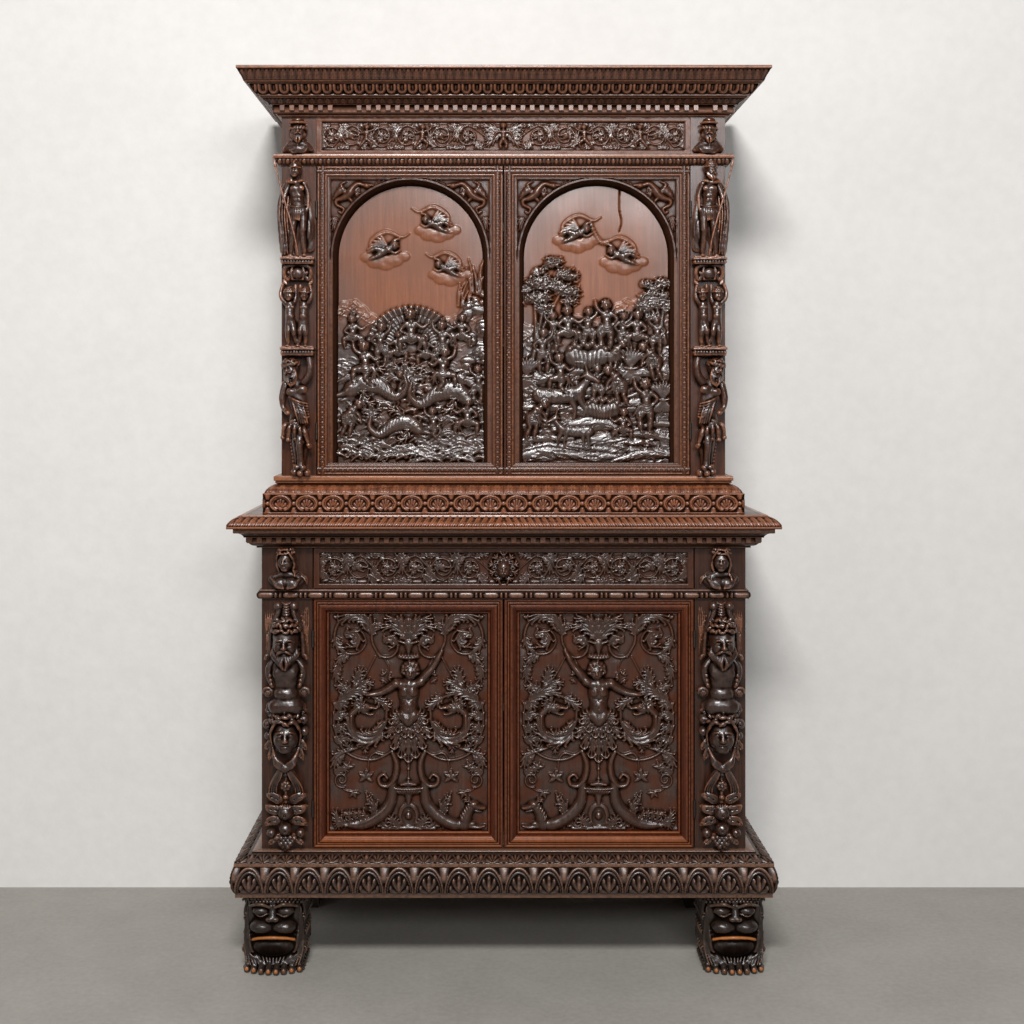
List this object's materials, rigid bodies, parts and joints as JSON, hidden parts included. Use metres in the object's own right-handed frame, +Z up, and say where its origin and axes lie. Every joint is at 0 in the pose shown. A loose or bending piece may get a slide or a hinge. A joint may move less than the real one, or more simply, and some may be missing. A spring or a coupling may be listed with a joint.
{
  "type": "two-part armoire",
  "caption": "Carved wooden armoire in two stacked cases: a buffet with drawer and doors on lion-mask feet, and a set-back cupboard with arched doors under a dentilled cornice.",
  "frame": {"origin": "centre of the footprint at the floor", "axes": "+Z up, front of the armoire faces -Y, +X to the right as seen from the front"},
  "size_m": [1.46, 0.601, 2.405],
  "materials": {
    "walnut_upper": "satin varnish, worn",
    "walnut_lower": "satin varnish, worn",
    "worn_walnut": "waxed, worn",
    "dark_walnut": "satin varnish, dark",
    "inside_oak": "raw, aged",
    "iron": "dull, aged",
    "steel": "dull, aged"
  },
  "bodies": {
    "carcase": {"base_board": "inside_oak", "bead_rail": "walnut_lower", "bearded_term_left": "walnut_upper", "bearded_term_right": "walnut_upper", "bearers": "inside_oak", "cherub_pair_left": "walnut_upper", "cherub_pair_right": "walnut_upper", "cornice": "walnut_upper", "counter_bed_moulding": "walnut_lower", "counter_top": "worn_walnut", "dust_board": "inside_oak", "frieze_board": "walnut_upper", "hinge_case_leaves": "iron", "lion_foot_left": "dark_walnut", "lion_foot_right": "dark_walnut", "lower_back": "inside_oak", "lower_bust_left": "walnut_lower", "lower_bust_right": "walnut_lower", "lower_pilaster_left": "walnut_lower", "lower_pilaster_right": "walnut_lower", "lower_side_left": "walnut_lower", "lower_side_right": "walnut_lower", "lower_term_left": "walnut_lower", "lower_term_right": "walnut_lower", "plinth_moulding": "dark_walnut", "rear_feet": "dark_walnut", "shelves": "inside_oak", "standing_figure_left": "walnut_upper", "standing_figure_right": "walnut_upper", "top_board": "inside_oak", "upper_back": "inside_oak", "upper_bottom_board": "inside_oak", "upper_bust_left": "walnut_upper", "upper_bust_right": "walnut_upper", "upper_ledge": "walnut_upper", "upper_pilaster_left": "walnut_upper", "upper_pilaster_right": "walnut_upper", "upper_side_left": "walnut_upper", "upper_side_right": "walnut_upper", "waist_moulding": "worn_walnut"},
    "upper_door_left": {"upper_door_frame_left": "walnut_upper", "upper_door_spandrel_left": "walnut_upper", "upper_door_panel_left": "walnut_upper", "upper_door_hinge_leaves_left": "iron"},
    "upper_door_right": {"upper_door_frame_right": "walnut_upper", "upper_door_spandrel_right": "walnut_upper", "upper_door_panel_right": "walnut_upper", "upper_door_hinge_leaves_right": "iron", "upper_lock": "iron"},
    "upper_bolt": {"upper_lock_bolt": "steel"},
    "lower_door_left": {"lower_door_frame_left": "walnut_lower", "lower_door_panel_left": "walnut_lower", "lower_door_hinge_leaves_left": "iron"},
    "lower_door_right": {"lower_door_frame_right": "walnut_lower", "lower_door_panel_right": "walnut_lower", "lower_door_hinge_leaves_right": "iron", "lower_lock": "iron"},
    "lower_bolt": {"lower_lock_bolt": "steel"},
    "drawer": {"drawer_front": "walnut_lower", "drawer_box": "inside_oak"}
  },
  "joints": [
    {"name": "upper_door_left_swing", "type": "hinge", "parent": "carcase", "child": "upper_door_left", "pos_m": [-0.507, -0.1805, 1.735], "axis": [0, 0, -1], "range_deg": [0, 95]},
    {"name": "upper_door_right_swing", "type": "hinge", "parent": "carcase", "child": "upper_door_right", "pos_m": [0.507, -0.1805, 1.735], "axis": [0, 0, 1], "range_deg": [0, 95]},
    {"name": "upper_bolt_throw", "type": "slide", "parent": "upper_door_right", "child": "upper_bolt", "axis": [-1, 0, 0], "range_m": [0, 0.009]},
    {"name": "lower_door_left_swing", "type": "hinge", "parent": "carcase", "child": "lower_door_left", "pos_m": [-0.5115, -0.2265, 0.6515], "axis": [0, 0, -1], "range_deg": [0, 95]},
    {"name": "lower_door_right_swing", "type": "hinge", "parent": "carcase", "child": "lower_door_right", "pos_m": [0.5115, -0.2265, 0.6515], "axis": [0, 0, 1], "range_deg": [0, 95]},
    {"name": "lower_bolt_throw", "type": "slide", "parent": "lower_door_right", "child": "lower_bolt", "axis": [-1, 0, 0], "range_m": [0, 0.009]},
    {"name": "drawer_slide", "type": "slide", "parent": "carcase", "child": "drawer", "axis": [0, -1, 0], "range_m": [0, 0.3]}
  ]
}
